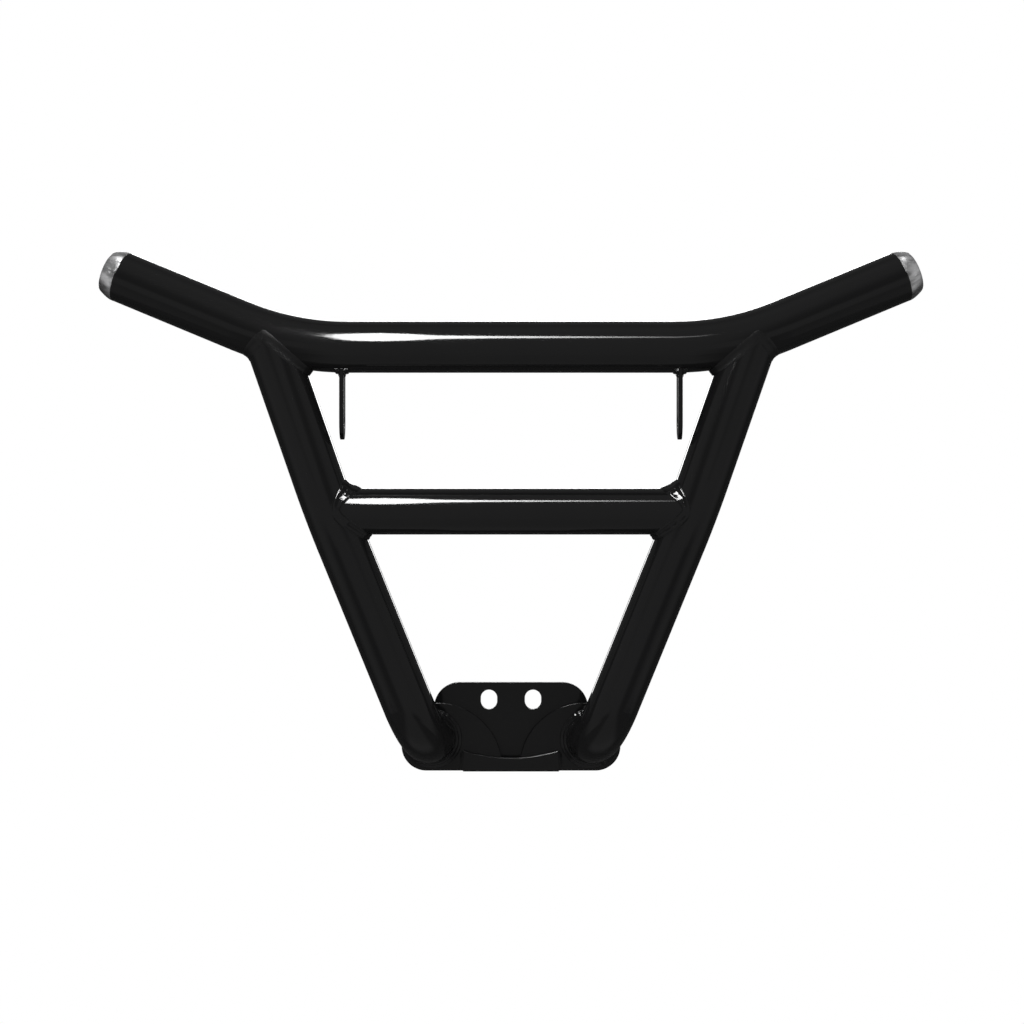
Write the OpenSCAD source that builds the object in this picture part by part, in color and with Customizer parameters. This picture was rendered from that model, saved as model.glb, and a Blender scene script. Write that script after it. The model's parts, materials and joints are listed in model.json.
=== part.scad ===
// Front bumper for an all-terrain vehicle, welded up from aluminium tube and plate.
// Seen from the front it is a wide top tube with swept-up arms, two legs that lean
// inwards to a slotted mount plate, and one cross tube between the legs.
// Front is -Y, up is +Z. The origin lies midway between the two mounting slots, on
// the rear face of the mount plate. All sizes are in millimetres.

/* [Tubes] */
// Outside diameter of the top tube and of both legs
main_tube_od = 50; // [38:0.5:60]
// Wall of the top tube and of both legs
main_tube_wall = 3; // [2:0.5:5]
// Outside diameter of the middle cross tube
middle_tube_od = 45; // [30:0.5:50]
// Wall of the middle cross tube
middle_tube_wall = 3; // [2:0.5:5]
// Gap left between a coped tube end and the tube that it meets
fit_up_gap = 0.2; // [0.05:0.05:0.5]
// How much the bender swells the tube's wall, outwards and inwards, in a bend
bend_swell = 0.03; // [0.02:0.01:0.1]

/* [Main plane] */
// How far the top tube's axis stands in front of the mount plate's rear face
reach = 92; // [60:1:140]
// Height of the middle tube's axis over the mounting slots
middle_height = 189.5; // [150:0.1:230]
// Height of the top tube's axis over the middle tube's axis
top_rise = 160.1; // [110:0.1:220]

/* [Top tube] */
// Distance from the middle of the bumper to the corner of each bend
bend_corner_x = 214; // [150:1:260]
// Bend radius on the top tube's axis
top_bend_radius = 260; // [150:1:300]
// Angle that each arm is bent through
top_bend_angle = 24.2; // [5:0.1:45]
// How far the plane of each bend leans back from upright
top_bend_lean = 21.5; // [0:0.5:60]
// Length of an arm from the bend's corner to the end of the tube
arm_length = 187; // [120:1:260]

/* [End caps] */
// Length of the bare turned band outside the tube
cap_band = 12.5; // [6:0.5:25]
// Chamfer on the outer rim of the band
cap_chamfer = 2.4; // [0.5:0.1:5]
// Length of the spigot that goes into the tube
cap_spigot = 22; // [10:1:40]
// Play between the spigot and the bore of the tube, on the radius
cap_play = 0.15; // [0.05:0.05:0.5]
// Bore that lightens the plug from its inner end
cap_bore_d = 28; // [10:1:36]
// Thickness of metal left across the outer end
cap_end = 6; // [3:0.5:12]
// Depth of the dish turned into the outer end
cap_dish = 1.2; // [0.4:0.1:3]

/* [Legs] */
// Distance from the middle of the bumper to each leg's axis at the middle tube
leg_middle_x = 176.8; // [120:0.1:230]
// Lean of the upper part of a leg, away from upright
leg_upper_lean = 19.2; // [5:0.1:35]
// Radius of the slight bend behind the middle tube
leg_knee_radius = 400; // [200:10:800]
// Radius of the tight bend above the foot
leg_foot_radius = 50; // [50:1:90]
// Corner of the foot's bend, out from the middle of the bumper
leg_corner_x = 87.9; // [70:0.5:120]
// Corner of the foot's bend, in front of the mount plate's rear face
leg_corner_reach = 59.5; // [40:0.5:70]
// Corner of the foot's bend, below the slots
leg_corner_drop = 34.5; // [20:0.5:60]
// Where the foot's axis meets its pad, out from the middle of the bumper
foot_x = 79.5; // [60:0.5:100]
// Where the foot's axis meets its pad, below the slots
foot_drop = 39; // [30:0.5:70]

/* [Mount plate] */
// Thickness of the mount plate
plate_t = 5; // [3:0.5:8]
// Height of the plate's top edge over the slots
plate_top = 17.4; // [12:0.1:30]
// Radius of the plate's upper corners
plate_upper_r = 26.2; // [8:0.1:30]
// Half the width of the plate at its upper corners
plate_shoulder_x = 77.8; // [60:0.1:95]
// How far below the slots the plate's sides start to spread
plate_notch_drop = 9.5; // [4:0.5:20]
// How far the plate's sides pull in down to that point
plate_notch_in = 1.3; // [0:0.1:5]
// Radius of the plate's lower corners, round the feet
plate_lower_r = 25; // [12:0.1:35]
// Centre of each lower corner, out from the middle of the bumper
plate_lower_x = 85.4; // [60:0.1:110]
// Centre of each lower corner, below the slots
plate_lower_drop = 46.8; // [30:0.1:70]

/* [Mounting slots] */
// Width of each upright slot
slot_w = 16.5; // [8:0.1:20]
// Height of each upright slot over its round ends
slot_h = 19.6; // [10:0.1:35]
// Distance between the centre lines of the slots
slot_spacing = 44.4; // [30:0.1:80]

/* [Foot pads] */
// Thickness of the pad under each foot
pad_t = 5; // [3:0.5:8]
// Radius of the pad's curved inner edge
pad_r = 66.3; // [40:0.1:80]
// Centre of that curve, out from the middle of the bumper
pad_centre_x = 75; // [60:0.1:90]
// Centre of that curve, below the slots
pad_centre_drop = 69.3; // [50:0.1:90]
// Margin left between the pad and the outline of the mount plate
pad_margin = 0.8; // [0.2:0.1:4]

/* [Cross plate] */
// Thickness of the cross plate that ties the two pads together
cross_plate_t = 5; // [3:0.5:8]
// Half the width of the cross plate
cross_plate_half = 48.5; // [35:0.5:70]
// How far below the slots its upper corners lie
cross_plate_top_drop = 50.4; // [35:0.1:70]
// How far its upper edge dips in the middle
cross_plate_dip = 7.6; // [1:0.1:15]

/* [Upper tabs] */
// Distance from the middle of the bumper to the centre of each tab
tab_x = 164.5; // [100:0.5:190]
// Thickness of each tab
tab_t = 4; // [3:0.5:8]
// Width of each tab from front to back
tab_w = 34; // [24:1:50]
// How far each tab hangs below the top tube
tab_length = 65; // [40:1:110]
// How far the tab's middle lies behind the top tube's axis
tab_offset = 3; // [-8:0.5:12]
// Bolt hole in each tab
tab_hole_d = 10.5; // [6:0.1:14]

/* [Welds] */
// Leg of the welds between tubes
tube_weld = 5.6; // [3:0.1:9]
// Leg of the welds at the tabs and at the cross plate
plate_weld = 4.6; // [2:0.1:7]
// Leg of the welds round the feet
foot_weld = 5; // [2:0.1:7]
// Length of the weld at each end of the cross plate, from its lower corner up
cross_weld_length = 17.5; // [4:0.5:19]
// Extra leg of the cross tube's welds on its top side, along the tube
top_fill_along = 7.5; // [0:0.5:10]
// Extra leg of the cross tube's welds on its top side, up the leg tube
top_fill_up = 4; // [0:0.5:8]
// Rise of a bead over the flat between its toes
weld_crown = 1.5; // [0.5:0.1:3]
// Length of one ripple along a bead
ripple_pitch = 4.4; // [2.5:0.1:8]
// Depth of the ripples, as a share of the bead's size
ripple_depth = 0.13; // [0:0.01:0.3]
// Gap under a bead, which keeps it off the surfaces that it joins
weld_gap = 0.3; // [0.1:0.05:0.5]

/* [Hidden] */
$fn = 96;
black = [0.09, 0.09, 0.09];
bare = [0.75, 0.75, 0.76];
main_r = main_tube_od / 2;
main_bore_r = main_r - main_tube_wall;
middle_r = middle_tube_od / 2;
top_z = middle_height + top_rise;
samples_per_ripple = 3;
ease = 6;
bend_lap = 0.5;
corner_steps = 24;
far = 100000;

// Axis of the top tube, from the left end to the right end
arm_dir = [
    cos(top_bend_angle),
    sin(top_bend_angle) * sin(top_bend_lean),
    sin(top_bend_angle) * cos(top_bend_lean)
];
bend_corner = [bend_corner_x, -reach, top_z];
arm_end = bend_corner + arm_length * arm_dir;
top_path = [flip(arm_end), flip(bend_corner), bend_corner, arm_end];
top_radii = [0, top_bend_radius, top_bend_radius, 0];

// Axis of the right leg, from the top tube's axis down to the face of the foot pad
pad_face = plate_t + pad_t;
leg_aim_rise = top_rise + main_r / 2;
leg_knee = [leg_middle_x, -reach, middle_height];
leg_aim = leg_knee + leg_aim_rise * [tan(leg_upper_lean), 0, 1];
leg_top = nearest(leg_aim, top_path, top_radii);
leg_corner = [leg_corner_x, -leg_corner_reach, -leg_corner_drop];
leg_foot = [foot_x, -pad_face, -foot_drop];
foot_dir = unit(leg_foot - leg_corner);
leg_path = [leg_top, leg_knee, leg_corner, leg_foot + 2 * main_r * foot_dir];
leg_radii = [0, leg_knee_radius, leg_foot_radius, 0];

function unit(v) = v / norm(v);
function flip(p) = [-p.x, p.y, p.z];
function off_axis(v, n) = v - (v * n) * n;

// Geometry of a bent axis: the tangent length, straights and arcs
function way(p, i) = unit(p[i + 1] - p[i]);
function ends(p, i) = i == 0 || i == len(p) - 1;
function turned(p, i) = ends(p, i) ? 0 : acos(way(p, i - 1) * way(p, i));
function tangent(p, r, i) = r[i] * tan(turned(p, i) / 2);
function run_start(p, r, i) = p[i] + tangent(p, r, i) * way(p, i);
function run_end(p, r, i) = p[i + 1] - tangent(p, r, i + 1) * way(p, i);
function inward(p, i) = unit(off_axis(way(p, i), way(p, i - 1)));
function arc_centre(p, r, i) = run_end(p, r, i - 1) + r[i] * inward(p, i);
function arc_normal(p, i) = unit(cross(-inward(p, i), way(p, i - 1)));

// Nearest point of a bent axis to q, taken over its straights and its arcs
function on_run(q, a, b) = a + max(0, min(1, (q - a) * (b - a) / ((b - a) * (b - a)))) * (b - a);
function on_arc(q, c, n, r) = c + r * unit(off_axis(q - c, n));
function within_arc(q, p, r, i) =
    let (v = off_axis(q - arc_centre(p, r, i), arc_normal(p, i)))
    let (a = atan2(v * way(p, i - 1), v * -inward(p, i)))
    a >= 0 && a <= turned(p, i);
function nearer(q, a, b) = norm(q - a) <= norm(q - b) ? a : b;
function near_runs(q, p, r, i) =
    let (here = on_run(q, run_start(p, r, i), run_end(p, r, i)))
    i == 0 ? here : nearer(q, here, near_runs(q, p, r, i - 1));
function near_arcs(q, p, r, i) =
    i == 0 ? [far, far, far] :
    let (rest = near_arcs(q, p, r, i - 1))
    within_arc(q, p, r, i)
        ? nearer(q, on_arc(q, arc_centre(p, r, i), arc_normal(p, i), r[i]), rest)
        : rest;
function nearest(q, p, r) = nearer(q, near_runs(q, p, r, len(p) - 2), near_arcs(q, p, r, len(p) - 2));

// A pipe along a bent axis, or a solid bar when its bore is nothing. The straights
// run a little way into the bends, where the wall is swollen and so holds their ends.
module aim(a, b) {
    d = b - a;
    translate(a)
        rotate([0, acos(d.z / norm(d)), atan2(d.y, d.x)])
            children();
}

module pipe_run(a, b, outer, bore) {
    aim(a, b)
        difference() {
            cylinder(r = outer, h = norm(b - a));
            if (bore > 0)
                translate([0, 0, -1])
                    cylinder(r = bore, h = norm(b - a) + 2);
        }
}

module pipe_bend(p, r, i, outer, bore) {
    c = arc_centre(p, r, i);
    x = -inward(p, i);
    y = way(p, i - 1);
    z = arc_normal(p, i);
    multmatrix([
        [x.x, y.x, z.x, c.x],
        [x.y, y.y, z.y, c.y],
        [x.z, y.z, z.z, c.z],
        [0, 0, 0, 1]
    ])
        rotate_extrude(angle = turned(p, i))
            translate([r[i], 0])
                difference() {
                    circle(r = outer + bend_swell);
                    if (bore > 0)
                        circle(r = bore - bend_swell);
                }
}

module pipe(p, r, outer, bore) {
    for (i = [0 : len(p) - 2])
        pipe_run(
            run_start(p, r, i) - (i > 0 ? bend_lap : 0) * way(p, i),
            run_end(p, r, i) + (i < len(p) - 2 ? bend_lap : 0) * way(p, i),
            outer, bore
        );
    for (i = [1 : len(p) - 2])
        pipe_bend(p, r, i, outer, bore);
}

// Weld beads: a ring or a strip of cross sections, joined up into one solid
function ripple(k) = 1 - ripple_depth * (k % samples_per_ripple) / (samples_per_ripple - 1);

function section(root, toe_a, toe_b, n, k, size) = [
    root,
    toe_a,
    toe_a * 0.78 + toe_b * 0.22 + n * weld_crown * ripple(k) * size * 0.7,
    toe_a * 0.5 + toe_b * 0.5 + n * weld_crown * ripple(k) * size,
    toe_a * 0.22 + toe_b * 0.78 + n * weld_crown * ripple(k) * size * 0.7,
    toe_b
];

module bead(sections, closed) {
    n = len(sections);
    m = len(sections[0]);
    spans = closed ? n : n - 1;
    points = [for (s = sections) for (q = s) q];
    sides = [
        for (i = [0 : spans - 1])
            for (j = [0 : m - 1])
                for (half = [0 : 1])
                    let (a = i * m + j)
                    let (b = i * m + (j + 1) % m)
                    let (c = ((i + 1) % n) * m + j)
                    let (d = ((i + 1) % n) * m + (j + 1) % m)
                    half == 0 ? [a, b, c] : [b, d, c]
    ];
    ends = closed ? [] : [
        for (j = [1 : m - 2]) [0, j + 1, j],
        for (j = [1 : m - 2]) [(n - 1) * m, (n - 1) * m + j, (n - 1) * m + j + 1]
    ];
    polyhedron(points, concat(sides, ends));
}

// Where a line on the branch tube runs into the surface of the tube that it meets
function meet(o, d, p, r, size, a, b, left) =
    let (m = (a + b) / 2)
    left == 0 ? o + m * d
        : norm(o + m * d - nearest(o + m * d, p, r)) > size
            ? meet(o, d, p, r, size, m, b, left - 1)
            : meet(o, d, p, r, size, a, m, left - 1);

// Weld round the end of a straight branch tube: base on its axis, d towards the joint
module saddle_weld(base, d, u, branch_r, p, r, size, reach_max, weld, fill = [0, 0]) {
    v = cross(d, u);
    count = samples_per_ripple * round(360 * branch_r * 1.12 * PI / 180 / ripple_pitch);
    around = [for (k = [0 : count - 1]) cos(360 * k / count) * u + sin(360 * k / count) * v];
    curve = [for (e = around) meet(base + branch_r * e, d, p, r, size, 0, reach_max, 26)];
    bead([
        for (k = [0 : count - 1])
            let (c = curve[k])
            let (t = unit(curve[(k + ease) % count] - curve[(k + count - ease) % count]))
            let (nl = around[k])
            let (na = unit(c - nearest(c, p, r)))
            let (on_top = pow(max(0, nl.z), 3))
            let (w = 0.93 + 0.07 * ripple(k))
            let (ql = c + w * (weld + fill[0] * on_top) * unit(cross(t, nl)))
            let (qa = c + w * (weld + fill[1] * on_top) * unit(cross(na, t)))
            let (axis_l = base + ((ql - base) * d) * d)
            let (axis_a = nearest(qa, p, r))
            section(
                c + weld_gap * (na + nl),
                axis_l + (branch_r + weld_gap) * unit(ql - axis_l),
                axis_a + (size + weld_gap) * unit(qa - axis_a),
                unit(na + nl), k, weld / tube_weld
            )
    ], true);
}

// The tubes
module top_tube() {
    color(black)
        pipe(top_path, top_radii, main_r, main_bore_r);
}

module leg_tube() {
    color(black)
        difference() {
            pipe(leg_path, leg_radii, main_r, main_bore_r);
            pipe(top_path, top_radii, main_r + fit_up_gap, 0);
            foot_trim();
        }
}

// Everything behind the face of the foot pads, for trimming the feet
module foot_trim() {
    translate([0, -pad_face - fit_up_gap, -foot_drop - 3 * main_r])
        cube([foot_x + 3 * main_r, 6 * main_r, 6 * main_r]);
}

module middle_cross_tube() {
    color(black)
        difference() {
            pipe_run(flip(leg_knee), leg_knee, middle_r, middle_r - middle_tube_wall);
            pipe(leg_path, leg_radii, main_r + fit_up_gap, 0);
            mirror([1, 0, 0])
                pipe(leg_path, leg_radii, main_r + fit_up_gap, 0);
        }
}

// The turned plug in each end of the top tube
module end_cap() {
    spigot_r = main_bore_r - cap_play;
    aim(arm_end, arm_end + arm_dir)
        color(bare)
            rotate_extrude()
                polygon([
                    [cap_bore_d / 2, -cap_spigot],
                    [spigot_r - 1, -cap_spigot],
                    [spigot_r, -cap_spigot + 1],
                    [spigot_r, fit_up_gap],
                    [main_r, fit_up_gap],
                    [main_r, cap_band - cap_chamfer],
                    [main_r - cap_chamfer, cap_band],
                    [main_r - 2 * cap_chamfer, cap_band],
                    [main_r - 3 * cap_chamfer, cap_band - cap_dish],
                    [0, cap_band - cap_dish],
                    [0, cap_band - cap_dish - cap_end],
                    [cap_bore_d / 2, cap_band - cap_dish - cap_end]
                ]);
}

// Outline of the mount plate, drawn for its front view
function tangent_turn(p, c, r) =
    let (v = p - c)
    atan2(v.y, v.x) - acos(r / norm(v));

function arc(c, r, from, to) = [
    for (k = [0 : corner_steps])
        let (a = from + (to - from) * k / corner_steps)
        c + r * [cos(a), sin(a)]
];

function half_outline(margin) =
    let (upper = [plate_shoulder_x - plate_upper_r, plate_top - plate_upper_r])
    let (lower = [plate_lower_x, -plate_lower_drop])
    let (notch = [plate_shoulder_x - plate_notch_in - margin, -plate_notch_drop])
    let (side = tangent_turn(notch, lower, plate_lower_r - margin))
    concat(
        arc(upper, plate_upper_r - margin, 90, 0),
        [notch],
        arc(lower, plate_lower_r - margin, side, -90)
    );

module plate_outline(margin) {
    right = half_outline(margin);
    n = len(right);
    polygon(concat(right, [for (k = [n - 1 : -1 : 0]) [-right[k].x, right[k].y]]));
}

// Stands a front-view outline up, with its rear face at the given distance forward
module upright(from, t) {
    translate([0, -from, 0])
        rotate([90, 0, 0])
            linear_extrude(height = t)
                children();
}

// A slot is two bores and the metal between them
module slot() {
    run = slot_h - slot_w;
    for (s = [-1, 1])
        translate([0, 1, s * run / 2])
            rotate([90, 0, 0])
                cylinder(d = slot_w, h = plate_t + 2);
    translate([0, -plate_t / 2, 0])
        cube([slot_w - 0.04, plate_t + 2, run], center = true);
}

module mount_plate() {
    color(black)
        difference() {
            upright(0, plate_t)
                plate_outline(0);
            for (s = [-1, 1])
                translate([s * slot_spacing / 2, 0, 0])
                    slot();
        }
}

module foot_pad() {
    color(black)
        intersection() {
            upright(plate_t, pad_t)
                plate_outline(pad_margin);
            translate([pad_centre_x, 1 - plate_t, -pad_centre_drop])
                rotate([90, 0, 0])
                    cylinder(r = pad_r, h = pad_t + 2);
        }
}

module lower_cross_plate() {
    top = -cross_plate_top_drop;
    bottom = -plate_lower_drop - plate_lower_r;
    curve_r = (cross_plate_half * cross_plate_half + cross_plate_dip * cross_plate_dip) / (2 * cross_plate_dip);
    color(black)
        difference() {
            upright(pad_face, cross_plate_t)
                translate([-cross_plate_half, bottom])
                    square([2 * cross_plate_half, top - bottom]);
            translate([0, 1 - pad_face, top - cross_plate_dip + curve_r])
                rotate([90, 0, 0])
                    cylinder(r = curve_r, h = cross_plate_t + 2);
        }
}

// The tab that hangs under the top tube, with its cross hole for a bolt
module upper_tab() {
    r = tab_w / 2;
    low = top_z - main_r - tab_length + r;
    color(black)
        difference() {
            translate([tab_x - tab_t / 2, -reach + tab_offset, low])
                rotate([90, 0, 90])
                    linear_extrude(height = tab_t) {
                        circle(r = r);
                        translate([-r, 0])
                            square([tab_w, tab_length - r + main_r / 2]);
                    }
            translate([tab_x - tab_t, -reach, top_z])
                rotate([0, 90, 0])
                    cylinder(r = main_r + fit_up_gap, h = 2 * tab_t);
            translate([tab_x - tab_t, -reach + tab_offset, low])
                rotate([0, 90, 0])
                    cylinder(d = tab_hole_d, h = 2 * tab_t);
        }
}

// The welds
module leg_top_weld() {
    d = -way(leg_path, 0);
    color(black)
        saddle_weld(leg_top - 90 * d, d, [0, -1, 0], main_r, top_path, top_radii, main_r, 90, tube_weld);
}

module middle_weld() {
    color(black)
        saddle_weld([leg_middle_x - 60, -reach, middle_height], [1, 0, 0], [0, -1, 0],
            middle_r, leg_path, leg_radii, main_r, 60, tube_weld, [top_fill_along, top_fill_up]);
}

// Where a line in the pad's face, from the foot's axis outwards, leaves the foot
function rim(o, d, a, b, left) =
    let (m = (a + b) / 2)
    let (q = o + m * d)
    left == 0 ? q
        : norm(q - nearest(q, leg_path, leg_radii)) > main_r
            ? rim(o, d, a, m, left - 1)
            : rim(o, d, m, b, left - 1);

module foot_weld_bead() {
    n = [0, -1, 0];
    count = samples_per_ripple * round(2 * PI * main_r * 1.06 / ripple_pitch);
    curve = [
        for (k = [0 : count - 1])
            rim(leg_foot, [cos(360 * k / count), 0, sin(360 * k / count)], 0, 2 * main_r, 26)
    ];
    color(black)
        bead([
            for (k = [0 : count - 1])
                let (c = curve[k])
                let (t = unit(curve[(k + 1) % count] - curve[(k + count - 1) % count]))
                let (nl = unit(c - nearest(c, leg_path, leg_radii)))
                let (w = foot_weld * (0.93 + 0.07 * ripple(k)))
                let (ql = c + w * unit(cross(nl, t)))
                let (qa = c + w * unit(cross(t, n)))
                let (axis_l = nearest(ql, leg_path, leg_radii))
                section(
                    c + weld_gap * (n + nl),
                    [qa.x, -pad_face - weld_gap, qa.z],
                    axis_l + (main_r + weld_gap) * unit(ql - axis_l),
                    unit(n + nl), k, foot_weld / tube_weld
                )
        ], true);
}

// side is 1 for the face of the tab that looks away from the middle, or -1
module tab_weld(side) {
    from = tab_offset - tab_w / 2 + 1;
    to = tab_offset + tab_w / 2 - 1;
    count = samples_per_ripple * round((to - from) / ripple_pitch);
    face = tab_x + side * tab_t / 2;
    color(black)
        bead([
            for (k = [0 : count])
                let (y = from + (to - from) * (side > 0 ? k : count - k) / count)
                let (w = plate_weld * (0.93 + 0.07 * ripple(k)))
                let (n = [0, y / main_r, -sqrt(1 - y * y / (main_r * main_r))])
                let (axis = [face, -reach, top_z])
                let (out = [side, 0, 0])
                section(
                    axis + (main_r + weld_gap) * n + weld_gap * out,
                    axis + (main_r + w) * n + weld_gap * out,
                    axis + (main_r + weld_gap) * n + w * out,
                    unit(n + out), k, 0.7
                )
        ], false);
}

// The short upright weld at each end of the cross plate
module cross_plate_weld() {
    low = -plate_lower_drop - plate_lower_r + 1;
    high = low + cross_weld_length;
    count = samples_per_ripple * round((high - low) / ripple_pitch);
    corner = [cross_plate_half, -pad_face, 0];
    out = [1, 0, 0];
    n = [0, -1, 0];
    w0 = min(plate_weld * 0.58, cross_plate_t - 1);
    color(black)
        bead([
            for (k = [0 : count])
                let (w = w0 * (0.93 + 0.07 * ripple(k)))
                let (c = corner + [0, 0, high + (low - high) * k / count])
                section(
                    c + weld_gap * (n + out),
                    c + w * n + weld_gap * out,
                    c + weld_gap * n + w * out,
                    unit(n + out), k, 0.5
                )
        ], false);
}

top_tube();
mirror([1, 0, 0]) end_cap();  // left_end_cap
end_cap();  // right_end_cap
mirror([1, 0, 0]) leg_tube();  // left_leg_tube
leg_tube();  // right_leg_tube
middle_cross_tube();
mirror([1, 0, 0]) upper_tab();  // left_upper_tab
upper_tab();  // right_upper_tab
mount_plate();
mirror([1, 0, 0]) foot_pad();  // left_foot_pad
foot_pad();  // right_foot_pad
lower_cross_plate();
mirror([1, 0, 0]) leg_top_weld();  // left_leg_top_weld
leg_top_weld();  // right_leg_top_weld
mirror([1, 0, 0]) middle_weld();  // left_middle_weld
middle_weld();  // right_middle_weld
mirror([1, 0, 0]) foot_weld_bead();  // left_foot_weld
foot_weld_bead();  // right_foot_weld
mirror([1, 0, 0]) tab_weld(1);  // left_tab_weld_outer
mirror([1, 0, 0]) tab_weld(-1);  // left_tab_weld_inner
tab_weld(1);  // right_tab_weld_outer
tab_weld(-1);  // right_tab_weld_inner
mirror([1, 0, 0]) cross_plate_weld();  // left_cross_plate_weld
cross_plate_weld();  // right_cross_plate_weld
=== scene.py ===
"""Looks of a welded front bumper: gloss black powder coat over the tubes, plates and weld beads,
and two bare turned plugs. Every length is in metres, in the frame of the solid model."""

import json
from math import cos, pi, radians, sin

import bpy
from bpy.props import FloatProperty, FloatVectorProperty, IntProperty, PointerProperty
from bpy.types import Operator, Panel, PropertyGroup
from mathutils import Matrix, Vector, noise
from mathutils.bvhtree import BVHTree

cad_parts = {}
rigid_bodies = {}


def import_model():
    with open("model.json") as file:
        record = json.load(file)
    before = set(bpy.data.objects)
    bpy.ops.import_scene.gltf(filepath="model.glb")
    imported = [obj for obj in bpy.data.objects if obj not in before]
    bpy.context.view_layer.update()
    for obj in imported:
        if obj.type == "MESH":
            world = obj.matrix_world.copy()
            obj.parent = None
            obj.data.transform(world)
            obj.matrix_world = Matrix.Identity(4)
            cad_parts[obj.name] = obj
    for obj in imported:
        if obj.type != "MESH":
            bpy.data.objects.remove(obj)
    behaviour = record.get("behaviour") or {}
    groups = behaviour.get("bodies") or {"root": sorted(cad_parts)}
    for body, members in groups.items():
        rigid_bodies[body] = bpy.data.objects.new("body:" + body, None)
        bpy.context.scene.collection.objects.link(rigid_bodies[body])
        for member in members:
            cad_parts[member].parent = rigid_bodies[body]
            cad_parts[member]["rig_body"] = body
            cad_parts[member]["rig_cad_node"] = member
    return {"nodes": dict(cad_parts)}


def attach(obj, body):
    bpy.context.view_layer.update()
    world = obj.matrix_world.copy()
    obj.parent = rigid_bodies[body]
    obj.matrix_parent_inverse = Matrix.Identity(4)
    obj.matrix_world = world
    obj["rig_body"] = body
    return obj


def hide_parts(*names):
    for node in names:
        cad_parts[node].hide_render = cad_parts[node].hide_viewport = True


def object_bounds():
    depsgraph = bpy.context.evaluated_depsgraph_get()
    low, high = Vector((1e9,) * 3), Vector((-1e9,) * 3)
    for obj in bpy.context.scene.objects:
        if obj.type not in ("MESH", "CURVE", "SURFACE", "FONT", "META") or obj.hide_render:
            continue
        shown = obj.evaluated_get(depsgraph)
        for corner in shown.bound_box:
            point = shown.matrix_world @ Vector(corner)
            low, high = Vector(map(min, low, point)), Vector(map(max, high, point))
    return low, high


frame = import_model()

bl_info = {
    "name": "Tubular Front Bumper",
    "version": (1, 0, 0),
    "blender": (4, 5, 0),
    "location": "3D View > Sidebar > Bumper",
    "description": "Coats and details a welded front bumper",
    "category": "Add Mesh",
}

MM = 0.001
CAD_BOX = [list(corner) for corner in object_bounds()]
NODES = frame["nodes"]
TUBES = ("top_tube", "middle_cross_tube", "left_leg_tube", "right_leg_tube")
PLATES = ("mount_plate", "left_foot_pad", "right_foot_pad", "lower_cross_plate", "left_upper_tab",
          "right_upper_tab")
BEADS = tuple(sorted(name for name in NODES if "weld" in name))

# The bend of each arm, how far the bend leans back, and so the way out of each arm's end.
ARM_BEND = radians(24.2)
ARM_LEAN = radians(21.5)
RIGHT_ARM = Vector((cos(ARM_BEND), sin(ARM_BEND) * sin(ARM_LEAN), sin(ARM_BEND) * cos(ARM_LEAN)))
END_CAPS = {"left_end_cap": Vector((-RIGHT_ARM.x, RIGHT_ARM.y, RIGHT_ARM.z)),
            "right_end_cap": RIGHT_ARM}

# How far the tubes stand before the mount face, and how far the solid end caps stand out of them.
TUBES_AHEAD = 92 * MM
CAP_BAND = 12.5 * MM


# Materials

class Wire:
    """A socket that adds its own Math nodes when it is used in a sum."""

    def __init__(self, paint, socket):
        self.paint = paint
        self.socket = socket

    def _math(self, operation, *values):
        return self.paint.node("ShaderNodeMath", {"operation": operation},
                               dict(enumerate(values)))

    def __add__(self, other):
        return self._math("ADD", self, other)

    __radd__ = __add__

    def __sub__(self, other):
        return self._math("SUBTRACT", self, other)

    def __rsub__(self, other):
        return self._math("SUBTRACT", other, self)

    def __mul__(self, other):
        return self._math("MULTIPLY", self, other)

    __rmul__ = __mul__

    def __abs__(self):
        return self._math("ABSOLUTE", self)

    def between(self, low, high):
        """0 below low, 1 above high, and a soft step from one to the other."""
        return self.paint.node("ShaderNodeMapRange", {"interpolation_type": "SMOOTHSTEP"},
                               {"Value": self, "From Min": low, "From Max": high}, "Result")


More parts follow.
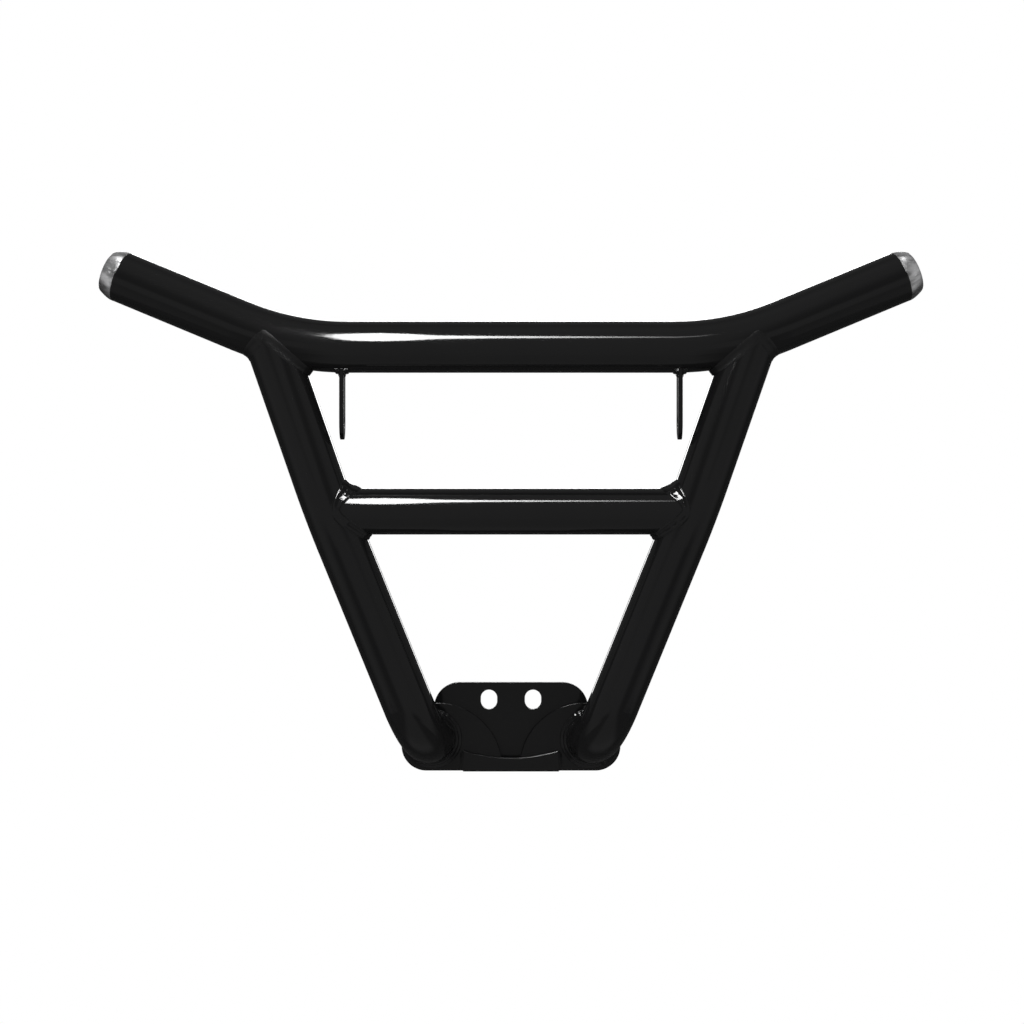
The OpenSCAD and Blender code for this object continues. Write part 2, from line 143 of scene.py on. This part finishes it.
class Paint:
    """A material's or the world's own node tree."""

    def __init__(self, owner):
        owner.use_nodes = True
        self.tree = owner.node_tree
        self.tree.nodes.clear()

    def node(self, kind, settings=None, values=None, out=0):
        """A node of that kind, with its settings, then its sockets' values or links. It gives the
        wire from its output out, or a wire each where out is a tuple."""
        made = self.tree.nodes.new(kind)
        for key, value in (settings or {}).items():
            setattr(made, key, value)
        for key, value in (values or {}).items():
            if isinstance(value, Wire):
                self.tree.links.new(value.socket, made.inputs[key])
            else:
                made.inputs[key].default_value = value
        if isinstance(out, tuple):
            return tuple(Wire(self, made.outputs[key]) for key in out)
        return Wire(self, made.outputs[out]) if len(made.outputs) else None

    def place(self):
        return self.node("ShaderNodeTexCoord", out="Object")

    def rays(self):
        """Whether a ray comes from the eye, off a gloss or through a glass, each as 1 or 0."""
        return self.node("ShaderNodeLightPath",
                         out=("Is Camera Ray", "Is Glossy Ray", "Is Transmission Ray"))

    def split(self, where):
        """How far a place or a way lies to the right, to the back and up."""
        return self.node("ShaderNodeSeparateXYZ", values={0: where}, out=(0, 1, 2))

    def noise(self, where, scale, detail=2.0, roughness=0.5):
        return self.node("ShaderNodeTexNoise", {"noise_dimensions": "3D"},
                         {"Vector": where, "Scale": scale, "Detail": detail,
                          "Roughness": roughness}, "Fac")

    def vector(self, operation, first, second=(0, 0, 0), scale=1.0, out=0):
        return self.node("ShaderNodeVectorMath", {"operation": operation},
                         {0: first, 1: second, 3: scale}, out)

    def tint(self, mask, first, second):
        return self.node("ShaderNodeMix", {"data_type": "RGBA"},
                         {"Factor": mask, 6: first, 7: second}, 2)

    def bump(self, height, depth):
        return self.node("ShaderNodeBump", values={"Height": height, "Distance": depth},
                         out="Normal")

    def finish(self, surface):
        self.node("ShaderNodeOutputMaterial", values={"Surface": surface})


def new_material(name):
    material = bpy.data.materials.new(name)
    return material, Paint(material)


def opaque(colour):
    return (*colour, 1)


# The coat's grain beside its orange peel: how many times finer, and how high.
GRAIN_FINENESS = 4.2
GRAIN_HEIGHT = 0.18

# Clouds in the coat's colour and flows in its gloss, to a metre, and how much each changes it.
CLOUDS = 9.0
CLOUD_TINT = 0.1
FLOWS = 38.0
FLOW_DULLNESS = 0.04
GRAIN_DULLNESS = 0.03


def coat_material(name, coat, peel=1.0, depth=1.0, dullness=0.0):
    """Powder coat: a flowed-out gloss with orange peel and faint clouds in its colour."""
    material, paint = new_material(name)
    where = paint.place()
    waves = paint.noise(where, 1 / coat.peel_size, 1.5)
    grain = paint.noise(where, GRAIN_FINENESS / coat.peel_size)
    cloud = paint.noise(where, CLOUDS, 3.0)
    flow = paint.noise(where, FLOWS)
    # A depth below 1 darkens the coat's colour into a shaded copy of the same coat: painted shade.
    shade = Vector(coat.colour) * depth
    colour = paint.tint(cloud, opaque(shade * (1 - CLOUD_TINT)), opaque(shade * (1 + CLOUD_TINT)))
    rough = (coat.roughness + dullness + (flow - 0.5) * FLOW_DULLNESS
             + (grain - 0.5) * GRAIN_DULLNESS)
    bumpy = paint.bump(waves + grain * GRAIN_HEIGHT, coat.peel_height * peel)
    surface = paint.node("ShaderNodeBsdfPrincipled", values={
        "Base Color": colour, "Roughness": rough, "Specular IOR Level": coat.shine,
        "Normal": bumpy})
    paint.finish(surface)
    return material


# The radius at which a plug's face turns into its band.
PLUG_RIM = (17.8 * MM, 19.2 * MM)

# The stretch of the band that is smeared, measured from the tube's mouth, and the shift that keeps
# the smears' pattern apart from the patches'.
SMEARS_BEGIN = (2.5 * MM, 3.5 * MM)
SMEARS_END = (8.5 * MM, 10 * MM)
SMEAR_SHIFT = (3.1, 0.7, 1.9)

# The coat's edge on the plug, in millimetres: where it lies, how far it wanders, and how far and
# where round the plug one nick sets it back.
LAP = -1.5
LAP_WANDER = 1.3
NICK_DEPTH = 1.3
NICK_WAY = Vector((0.02, -0.953, 0.302)).normalized()
NICK_EDGE = (0.975, 0.99)

# The bare metal's darkest and palest tone, as shares of its colour.
DARK_METAL = 0.42
PALE_METAL = 1.28


def plug_material(name, plug, coat, mouth, way):
    """Bare aluminium: brushed across the band in patches, turned in rings on the face, and lapped
    by the coat's uneven edge where it comes out of the tube."""
    material, paint = new_material(name)
    place = paint.place()
    point = paint.vector("SUBTRACT", place, mouth)
    along = paint.vector("DOT_PRODUCT", point, way, out="Value")
    spoke = paint.vector("SUBTRACT", point, paint.vector("PROJECT", point, way))
    radius = paint.vector("LENGTH", spoke, out="Value")
    turn = paint.vector("NORMALIZE", spoke)
    lay = paint.vector("ADD", turn, paint.vector("SCALE", point, scale=plug.patch_drift))

    patches = paint.noise(lay, 1.7, 3.0, 0.55)
    lines = paint.noise(lay, 26.0, 2.0, 0.6)
    smear = paint.noise(paint.vector("ADD", lay, SMEAR_SHIFT), 5.5)
    marks = (smear.between(0.6, 0.64) * along.between(*SMEARS_BEGIN)
             * (1 - along.between(*SMEARS_END)))
    rings = paint.node("ShaderNodeTexNoise", {"noise_dimensions": "1D"},
                       {"W": radius, "Scale": 1 / plug.ring_pitch, "Detail": 2.0}, "Fac")
    haze = paint.noise(place, 90.0, 3.0)
    band = radius.between(*PLUG_RIM)
    brushed = patches.between(0.3, 0.7) * 0.62 + lines * 0.3 + haze * 0.12 + marks * 0.5
    turned = rings * 0.6 + haze * 0.4
    tone = band * brushed + (1 - band) * turned

    shade = Vector(plug.colour)
    metal = paint.tint(tone.between(0.1, 0.95), opaque(shade * DARK_METAL),
                       opaque(shade * PALE_METAL))
    nick = paint.vector("DOT_PRODUCT", turn, NICK_WAY, out="Value")
    wander = paint.noise(turn, 6.0, 3.0, 0.6)
    lap = (LAP + (wander - 0.5) * LAP_WANDER - nick.between(*NICK_EDGE) * NICK_DEPTH) * MM
    bare = (along - lap).between(0, 0.12 * MM)
    rough = plug.roughness + (lines - 0.5) * 0.2 + (patches - 0.5) * 0.16
    height = band * (lines * 0.5 + patches) + (1 - band) * rings
    surface = paint.node("ShaderNodeBsdfPrincipled", values={
        "Base Color": paint.tint(bare, opaque(coat.colour), metal), "Metallic": bare,
        "Roughness": bare * rough + (1 - bare) * coat.roughness,
        "Normal": paint.bump(height + bare * 3, plug.ring_depth)})
    paint.finish(surface)
    return material


def dress(piece, material):
    piece.data.materials.clear()
    piece.data.materials.append(material)


# Settings

class CoatSettings(PropertyGroup):
    colour: FloatVectorProperty(
        name="Coat colour", description="Colour of the powder coat", subtype="COLOR",
        size=3, min=0, max=1, default=(0.0088, 0.0088, 0.009))
    roughness: FloatProperty(
        name="Coat roughness", description="0 is a mirror, 1 is chalk",
        min=0.03, max=1, default=0.08, subtype="FACTOR")
    shine: FloatProperty(
        name="Coat shine", description="How strongly the coat mirrors what is straight ahead",
        min=0, max=1, default=0.14, subtype="FACTOR")
    peel_size: FloatProperty(
        name="Orange peel size", description="Length of one wave in the coat",
        min=0.5 * MM, max=20 * MM, default=4.5 * MM, unit="LENGTH")
    peel_height: FloatProperty(
        name="Orange peel height", description="Height of the waves in the coat",
        min=0, max=0.5 * MM, default=0.02 * MM, unit="LENGTH")


class PlateSettings(PropertyGroup):
    edge_round: FloatProperty(
        name="Plate edge rounding", description="Radius on the cut edges under the coat",
        min=0.1 * MM, max=2 * MM, default=1.0 * MM, unit="LENGTH")
    edge_steps: IntProperty(
        name="Edge steps", description="Faces across each rounded edge", min=1, max=6, default=4)


class BeadSettings(PropertyGroup):
    toe: FloatProperty(
        name="Bead toe", description="Below this height the coat runs from the bead to the metal",
        min=0, max=1.5 * MM, default=0.45 * MM, unit="LENGTH")
    sink: FloatProperty(
        name="Bead sink", description="How far a bead's middle lies in, as a share of its height",
        min=0, max=1, default=0.42, subtype="FACTOR")
    tab_sink: FloatProperty(
        name="Tab bead sink", description="The same for the beads at the tabs, which are hollow",
        min=0, max=1, default=0.75, subtype="FACTOR")
    flush_sink: FloatProperty(
        name="Leg bead sink", description="The same where the legs lie flush with the top tube",
        min=0, max=1, default=0.72, subtype="FACTOR")
    cuts: IntProperty(name="Bead cuts", description="Cuts across each of a bead's faces",
                      min=1, max=4, default=2)
    unevenness: FloatProperty(
        name="Bead unevenness", description="How far a bead swells and sinks along its run",
        min=0, max=2 * MM, default=0.45 * MM, unit="LENGTH")
    swell_length: FloatProperty(
        name="Swell length", description="Distance from one swelling of a bead to the next",
        min=2 * MM, max=40 * MM, default=6.5 * MM, unit="LENGTH")


class PlugSettings(PropertyGroup):
    colour: FloatVectorProperty(
        name="Plug colour", description="Colour of the bare aluminium", subtype="COLOR",
        size=3, min=0, max=1, default=(0.6, 0.6, 0.605))
    roughness: FloatProperty(
        name="Plug roughness", description="0 is a mirror, 1 is blasted",
        min=0.05, max=1, default=0.34, subtype="FACTOR")
    patch_drift: FloatProperty(
        name="Patch drift", description="How much the brushed patches change along the band",
        min=0, max=200, default=22.0)
    ring_pitch: FloatProperty(
        name="Tool ring pitch", description="Distance from one tool ring to the next",
        min=0.1 * MM, max=3 * MM, default=0.7 * MM, unit="LENGTH")
    ring_depth: FloatProperty(
        name="Tool ring depth", description="Depth of the brushing and of the tool rings",
        min=0, max=0.3 * MM, default=0.03 * MM, unit="LENGTH")
    spigot: FloatProperty(
        name="Spigot length", description="How far the plug reaches into its tube",
        min=5 * MM, max=60 * MM, default=22 * MM, unit="LENGTH")
    steps: IntProperty(
        name="Plug steps", description="Faces round the plug", min=24, max=256, default=128)


class StageSettings(PropertyGroup):
    floor_drop: FloatProperty(
        name="Floor drop", description="Height of the bumper's lowest edge above the floor",
        min=0, max=3, default=0.9, unit="LENGTH")
    camera_distance: FloatProperty(
        name="Camera distance", description="From the camera to the tubes' plane",
        min=1, max=10, default=2.466, unit="LENGTH")
    camera_height: FloatProperty(
        name="Camera height", description="Height of the camera above the slots",
        min=-1, max=1, default=0.189, unit="LENGTH")
    lens: FloatProperty(
        name="Lens", description="Focal length in millimetres on a 36 mm sensor",
        min=20, max=200, default=89.0)
    room_light: FloatProperty(
        name="Room light", description="Soft light from all round",
        min=0, max=2, default=0.62)
    key_light: FloatProperty(
        name="Key light", description="Power of the soft lamp above the camera, in watts",
        min=0, max=500, default=34.0)
    strip_light: FloatProperty(
        name="Strip light", description="Brightness of the strip light that the gloss mirrors",
        min=0, max=400, default=95.0)
    back_light: FloatProperty(
        name="Back light", description="Brightness of the windows behind, seen only in the gloss",
        min=0, max=40, default=7.0)
    plug_light: FloatProperty(
        name="Plug light", description="Brightness of the panel over each bare plug",
        min=0, max=40, default=4.5)


class BumperSettings(PropertyGroup):
    coat: PointerProperty(type=CoatSettings)
    plate: PointerProperty(type=PlateSettings)
    bead: PointerProperty(type=BeadSettings)
    plug: PointerProperty(type=PlugSettings)
    stage: PointerProperty(type=StageSettings)


def settings():
    return bpy.context.scene.bumper


# Modelling by hand

def pick(piece):
    """Nothing but that object is selected and active."""
    bpy.ops.object.select_all(action="DESELECT")
    piece.select_set(True)
    bpy.context.view_layer.objects.active = piece


def merged_copy(node, name):
    """A CAD solid's own copy, with its loose triangles merged."""
    pick(NODES[node])
    bpy.ops.object.duplicate()
    piece = bpy.context.view_layer.objects.active
    piece.name = name
    piece.data.name = name
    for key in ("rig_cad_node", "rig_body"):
        if key in piece:
            del piece[key]
    bpy.ops.object.parent_clear(type="CLEAR_KEEP_TRANSFORM")
    bpy.ops.object.mode_set(mode="EDIT")
    bpy.ops.mesh.select_all(action="SELECT")
    bpy.ops.mesh.remove_doubles(threshold=0.002 * MM)
    bpy.ops.object.mode_set(mode="OBJECT")
    bpy.ops.mesh.customdata_custom_splitnormals_clear()
    return piece


def welded_surfaces():
    """The surfaces of all tubes and plates, to find how high a bead stands on them."""
    points, faces = [], []
    for name in TUBES + PLATES:
        mesh = NODES[name].data
        first = len(points)
        points += [v.co.copy() for v in mesh.vertices]
        faces += [[first + i for i in face.vertices] for face in mesh.polygons]
    return BVHTree.FromPolygons(points, faces)


def tube_mouth(cap, way):
    """The middle of the mouth of the tube that holds that end cap."""
    corners = {tuple(round(c, 7) for c in v.co) for v in NODES[cap].data.vertices}
    corners = [Vector(corner) for corner in corners]
    tip = max(corner.dot(way) for corner in corners)
    face = [corner for corner in corners if corner.dot(way) > tip - 0.02 * MM]
    return sum(face, Vector()) / len(face) - way * CAP_BAND


def stands_for(piece, node):
    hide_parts(node)
    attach(piece, "root")


class BUMPER_OT_coat_tubes(Operator):
    """Coats the four tubes in gloss black"""

    bl_idname = "bumper.coat_tubes"
    bl_label = "Coat Tubes"

    def execute(self, context):
        coat = coat_material("gloss_black_coat", settings().coat)
        for name in TUBES:
            dress(NODES[name], coat)
        return {"FINISHED"}


class BUMPER_OT_round_plates(Operator):
    """Gives the cut plates their rounded, coated edges"""

    bl_idname = "bumper.round_plates"
    bl_label = "Round Plates"

    def execute(self, context):
        plate = settings().plate
        # The plates' coat is the tubes' coat darkened to 0.7: painted shade, for the dimmer light
        # that the plates mirror.
        coat = coat_material("plate_coat_painted_shade", settings().coat, peel=0.9, depth=0.7)
        for name in PLATES:
            piece = merged_copy(name, name + "_coated")
            bpy.ops.object.mode_set(mode="EDIT")
            bpy.ops.mesh.select_all(action="SELECT")
            bpy.ops.mesh.dissolve_limited(angle_limit=radians(0.4))
            bpy.ops.mesh.select_mode(type="EDGE")
            bpy.ops.mesh.select_all(action="DESELECT")
            bpy.ops.mesh.edges_select_sharp(sharpness=radians(40))
            bpy.ops.mesh.bevel(offset=plate.edge_round, segments=plate.edge_steps,
                               profile=0.5, clamp_overlap=True)
            bpy.ops.object.mode_set(mode="OBJECT")
            bpy.ops.object.shade_smooth_by_angle(angle=radians(35))
            dress(piece, coat)
            stands_for(piece, name)
        return {"FINISHED"}


# The height over which a bead goes from its toe's shape to its own swelling.
BEAD_RISE = 2 * MM


class BUMPER_OT_coat_beads(Operator):
    """Makes the weld beads round and uneven, and coats them"""

    bl_idname = "bumper.coat_beads"
    bl_label = "Coat Weld Beads"

    def execute(self, context):
        bead = settings().bead
        coat = coat_material("weld_coat", settings().coat, peel=1.6)
        dull = coat_material("corner_coat", settings().coat, peel=1.6, dullness=0.22)
        host = welded_surfaces()
        for name in BEADS:
            piece = merged_copy(name, name + "_coated")
            bpy.ops.object.mode_set(mode="EDIT")
            bpy.ops.mesh.select_all(action="SELECT")
            bpy.ops.mesh.tris_convert_to_quads(face_threshold=radians(70),
                                               shape_threshold=radians(70))
            bpy.ops.mesh.subdivide(number_cuts=bead.cuts)
            bpy.ops.object.mode_set(mode="OBJECT")
            flush = "leg_top" in name
            sink = bead.tab_sink if "tab" in name else bead.sink
            moves = []
            for vertex in piece.data.vertices:
                seat, _, _, depth = host.find_nearest(vertex.co)
                swell = noise.noise(vertex.co / bead.swell_length) * bead.unevenness
                if depth < bead.toe:
                    moves.append(seat - vertex.co)
                elif flush:
                    moves.append((seat - vertex.co) * bead.flush_sink)
                else:
                    moves.append(vertex.normal * min(1, (depth - bead.toe) / BEAD_RISE)
                                 * (swell - sink * depth))
            for vertex, move in zip(piece.data.vertices, moves):
                vertex.co += move
            bpy.ops.object.shade_smooth_by_angle(angle=radians(55))
            dress(piece, dull if flush or "tab" in name else coat)
            stands_for(piece, name)
        return {"FINISHED"}


# The plug's turned outline from where it leaves the tube's bore, in millimetres: how far out of
# the tube's mouth, and the radius there. Its spigot and bore are in millimetres too.
PLUG_LINE = ((0.1, 21.85), (0.1, 24.6), (-2.2, 24.9), (-2.2, 25.04), (0, 25.04),
             (1.5, 24.85), (4, 24.3), (6.5, 23.5), (9, 22.5), (11.3, 21.5), (12.9, 20.6),
             (13.35, 20.2), (13.6, 19.5), (13.6, 18.3), (13.5, 17.6), (13.1, 16.6), (12.5, 15.4),
             (12.2, 14), (12.1, 8), (12.1, 1))
SPIGOT_RADIUS = 21.85
SPIGOT_CHAMFER = 1
PLUG_BORE = 14
PLUG_FLOOR = 5.3


class BUMPER_OT_turn_plugs(Operator):
    """Turns the two bare plugs, tapered to a dished face"""

    bl_idname = "bumper.turn_plugs"
    bl_label = "Turn End Plugs"

    def execute(self, context):
        plug = settings().plug
        end = -plug.spigot / MM
        line = ((PLUG_FLOOR, PLUG_BORE), (end, PLUG_BORE), (end, SPIGOT_RADIUS - SPIGOT_CHAMFER),
                (end + SPIGOT_CHAMFER, SPIGOT_RADIUS), *PLUG_LINE)
        for name, way in END_CAPS.items():
            mouth = tube_mouth(name, way)
            bpy.ops.object.select_all(action="DESELECT")
            bpy.ops.mesh.primitive_circle_add(
                vertices=plug.steps, radius=line[0][1] * MM, fill_type="NOTHING",
                location=mouth + way * line[0][0] * MM,
                rotation=way.to_track_quat("Z", "Y").to_euler())
            piece = context.object
            piece.name = piece.data.name = name.replace("_end_cap", "_turned_plug")
            bpy.ops.object.mode_set(mode="EDIT")
            bpy.ops.mesh.select_all(action="SELECT")
            for (was, wide), (now, narrow) in zip(line, line[1:]):
                bpy.ops.mesh.extrude_region_move(
                    TRANSFORM_OT_translate={"value": way * (now - was) * MM})
                bpy.ops.transform.resize(value=(narrow / wide,) * 3,
                                         center_override=mouth + way * now * MM)
            bpy.ops.mesh.merge(type="CENTER")
            bpy.ops.mesh.select_all(action="DESELECT")
            bpy.ops.mesh.select_mode(type="EDGE")
            bpy.ops.mesh.select_non_manifold()
            bpy.ops.mesh.edge_face_add()
            bpy.ops.mesh.poke()
            bpy.ops.mesh.select_all(action="SELECT")
            bpy.ops.mesh.normals_make_consistent(inside=False)
            bpy.ops.object.mode_set(mode="OBJECT")
            bpy.ops.object.transform_apply(location=True, rotation=True, scale=True)
            bpy.ops.object.shade_smooth_by_angle(angle=radians(32))
            dress(piece, plug_material(name.replace("_end_cap", "_bare_plug"), plug,
                                       settings().coat, mouth, way))
            stands_for(piece, name)
        return {"FINISHED"}


# Stage

WHITE = (1, 1, 1)
PALE_GREY = (0.82, 0.82, 0.82)

# Where the parts of the mirrored room begin, from faint to full, on a way of length 1: how far it
# points to the front, aside, back or up. The front has a darker dip on each side, with a gap in it.
ROOM_FRONT = (-0.35, 0.25)
DIP_BEGINS = (0.12, 0.4)
DIP_ENDS = (0.5, 0.8)
GAP_FOOT = (-0.45, -0.3)
GAP_HEAD = (-0.1, 0.1)
BACK_SKY = (-0.2, 0.3)
WINDOW_DEPTH = (0.88, 0.92)
WINDOW_FOOT = (0.14, 0.16)
WINDOW_HEAD = (0.26, 0.29)
POST_DEPTH = (0.8, 0.84)
POST_BEGINS = (0.32, 0.34)
POST_ENDS = (0.44, 0.46)
POST_FOOT = (0.02, 0.06)


def room_world(stage):
    """White to the eye, a plain soft light on matt surfaces, and in the gloss a dim studio that is
    grey before the bumper and dark behind it."""
    world = bpy.data.worlds.new("studio_room")
    paint = Paint(world)
    seen, glossy, through = paint.rays()
    across, back, up = paint.split(paint.node("ShaderNodeTexCoord", out="Generated"))
    aside = abs(across)
    before = (0 - back).between(*ROOM_FRONT)
    dip = aside.between(*DIP_BEGINS) * (1 - aside.between(*DIP_ENDS)) * (
        1 + up.between(*GAP_HEAD) - up.between(*GAP_FOOT))
    behind = 1 - before
    window = (back.between(*WINDOW_DEPTH) * up.between(*WINDOW_FOOT)
              * (1 - up.between(*WINDOW_HEAD)))
    posts = back.between(*POST_DEPTH) * aside.between(*POST_BEGINS) * (
        1 - aside.between(*POST_ENDS)) * up.between(*POST_FOOT)
    mirrored = (before * (0.5 - 0.42 * dip) + behind * (0.04 + 0.12 * up.between(*BACK_SKY))
                + (window + posts) * stage.back_light)
    level = seen + (glossy + through) * mirrored
    rest = 1 - (seen + glossy + through).between(0.1, 0.9)
    light = paint.node("ShaderNodeBackground", values={
        "Color": opaque(WHITE), "Strength": level + rest * stage.room_light})
    paint.node("ShaderNodeOutputWorld", values={"Surface": light})
    return world


def glow(paint, strength):
    """A white light of that strength."""
    return paint.node("ShaderNodeEmission", values={"Color": opaque(WHITE), "Strength": strength})


# How the mirrored floor fades, in metres to the back of the mount face and aside of its middle.
FLOOR_FADES_BACK = (-0.05, 0.4)
FLOOR_FADES_ASIDE = (0.35, 0.75)


def floor_material():
    """A pale floor that keeps the shadow and is white to the eye like the room. In the gloss it is
    grey before the bumper and dark behind it."""
    material, paint = new_material("pale_floor")
    seen, glossy, through = paint.rays()
    across, back, _ = paint.split(paint.place())
    lit = (1 - back.between(*FLOOR_FADES_BACK)) * (
        1 - 0.85 * abs(across).between(*FLOOR_FADES_ASIDE))
    matt = paint.node("ShaderNodeBsdfDiffuse", values={"Color": opaque(PALE_GREY)})
    plain = paint.node("ShaderNodeAddShader",
                       values={0: matt, 1: glow(paint, seen * 0.52 + through * 0.3)})
    mirrored = glow(paint, 0.05 + 0.42 * lit)
    paint.finish(paint.node("ShaderNodeMixShader", values={0: glossy, 1: plain, 2: mirrored}))
    return material


# The stretch along the strip light over which it dims, and how much it dims.
STRIP_FADES = (-0.12, 0.25)
STRIP_FADE = 0.93


def strip_material(brightness):
    """The strip light's face, bright at its wide end and dim at its thin end."""
    material, paint = new_material("strip_face")
    across, _, _ = paint.split(paint.place())
    paint.finish(glow(paint, (1 - across.between(*STRIP_FADES) * STRIP_FADE) * brightness))
    return material


def panel_material(brightness):
    """The face of a small panel that lights a bare plug from above."""
    material, paint = new_material("panel_face")
    paint.finish(glow(paint, brightness))
    return material


# The strip light's outline: place along it, and half its width there.
STRIP = ((-0.229, 0.006), (-0.216, 0.012), (-0.209, 0.1), (-0.185, 0.165), (-0.157, 0.19),
         (-0.122, 0.15), (-0.088, 0.075), (-0.02, 0.046), (0.095, 0.03), (0.24, 0.014))
STRIP_CENTRE = Vector((0, -0.50, 0.70))
STRIP_AIMS_AT = Vector((0, -0.115, 0.29))

FLOOR_RADIUS = 1.6
PANEL_PLACE = Vector((0.6, -0.12, 1.5))
PANEL_SIZE = (0.24, 0.3, 1)
KEY_PLACE = Vector((-0.9, -2.4, 2.3))
KEY_SIZE = (1.6, 1.1)
KEY_AIMS_AT = Vector((0, -0.1, 0.2))
CAMERA_ASIDE = 1 * MM
SENSOR_WIDTH = 36


def gloss_only(lit_face):
    """Lets a lit face show in the gloss and do nothing else."""
    lit_face.visible_camera = False
    lit_face.visible_diffuse = False
    lit_face.visible_shadow = False


class BUMPER_OT_set_stage(Operator):
    """Puts up the floor, the room, the lamps and the camera"""

    bl_idname = "bumper.set_stage"
    bl_label = "Set Stage"

    def execute(self, context):
        stage = settings().stage
        scene = context.scene
        scene.view_settings.view_transform = "Standard"
        scene.world = room_world(stage)
        low = CAD_BOX[0][2] - stage.floor_drop
        bpy.ops.mesh.primitive_circle_add(vertices=96, radius=FLOOR_RADIUS, fill_type="NGON",
                                          location=(0, 0, low))
        floor = context.object
        floor.name = "floor"
        dress(floor, floor_material())

        facing = (STRIP_AIMS_AT - STRIP_CENTRE).normalized()
        up = facing.cross(Vector((1, 0, 0))).normalized()
        rows = [(STRIP_CENTRE + Vector((x, 0, 0)) + up * half * way)
                for way in (1, -1) for x, half in STRIP]
        count = len(STRIP)
        mesh = bpy.data.meshes.new("strip_light")
        mesh.from_pydata(rows, [], [(i, i + 1, count + i + 1, count + i)
                                    for i in range(count - 1)])
        strip = bpy.data.objects.new("strip_light", mesh)
        scene.collection.objects.link(strip)
        dress(strip, strip_material(stage.strip_light))
        gloss_only(strip)

        for side in (-1, 1):
            bpy.ops.mesh.primitive_plane_add(
                size=1, location=(side * PANEL_PLACE.x, PANEL_PLACE.y, PANEL_PLACE.z))
            panel = context.object
            panel.name = "plug_light_" + ("left" if side < 0 else "right")
            bpy.ops.transform.resize(value=PANEL_SIZE)
            dress(panel, panel_material(stage.plug_light))
            gloss_only(panel)

        bpy.ops.object.light_add(type="AREA", location=KEY_PLACE)
        key = context.object
        key.name = "key_lamp"
        key.data.shape = "RECTANGLE"
        key.data.size, key.data.size_y = KEY_SIZE
        key.data.energy = stage.key_light
        key.rotation_mode = "QUATERNION"
        key.rotation_quaternion = (KEY_AIMS_AT - KEY_PLACE).to_track_quat("-Z", "Y")
        key.visible_glossy = False
        key.visible_camera = False

        bpy.ops.object.camera_add(
            location=(CAMERA_ASIDE, -TUBES_AHEAD - stage.camera_distance, stage.camera_height),
            rotation=(pi / 2, 0, 0))
        camera = context.object
        camera.data.sensor_width = SENSOR_WIDTH
        camera.data.lens = stage.lens
        scene.camera = camera
        return {"FINISHED"}


STEPS = (BUMPER_OT_set_stage, BUMPER_OT_coat_tubes, BUMPER_OT_round_plates,
         BUMPER_OT_coat_beads, BUMPER_OT_turn_plugs)


class BUMPER_PT_make(Panel):
    """Lists the bumper's settings and the steps that make it"""

    bl_label = "Front Bumper"
    bl_idname = "BUMPER_PT_make"
    bl_space_type = "VIEW_3D"
    bl_region_type = "UI"
    bl_category = "Bumper"

    def draw(self, context):
        for group in ("coat", "plate", "bead", "plug", "stage"):
            box = self.layout.box()
            values = getattr(settings(), group)
            for key in values.__annotations__:
                box.prop(values, key)
        for step in STEPS:
            self.layout.operator(step.bl_idname)


CLASSES = (CoatSettings, PlateSettings, BeadSettings, PlugSettings, StageSettings,
           BumperSettings, *STEPS, BUMPER_PT_make)


def register():
    for kind in CLASSES:
        bpy.utils.register_class(kind)
    bpy.types.Scene.bumper = PointerProperty(type=BumperSettings)


def unregister():
    del bpy.types.Scene.bumper
    for kind in reversed(CLASSES):
        bpy.utils.unregister_class(kind)


def main():
    register()
    bpy.ops.bumper.set_stage()
    bpy.ops.bumper.coat_tubes()
    bpy.ops.bumper.round_plates()
    bpy.ops.bumper.coat_beads()
    bpy.ops.bumper.turn_plugs()


if __name__ == "__main__":
    main()
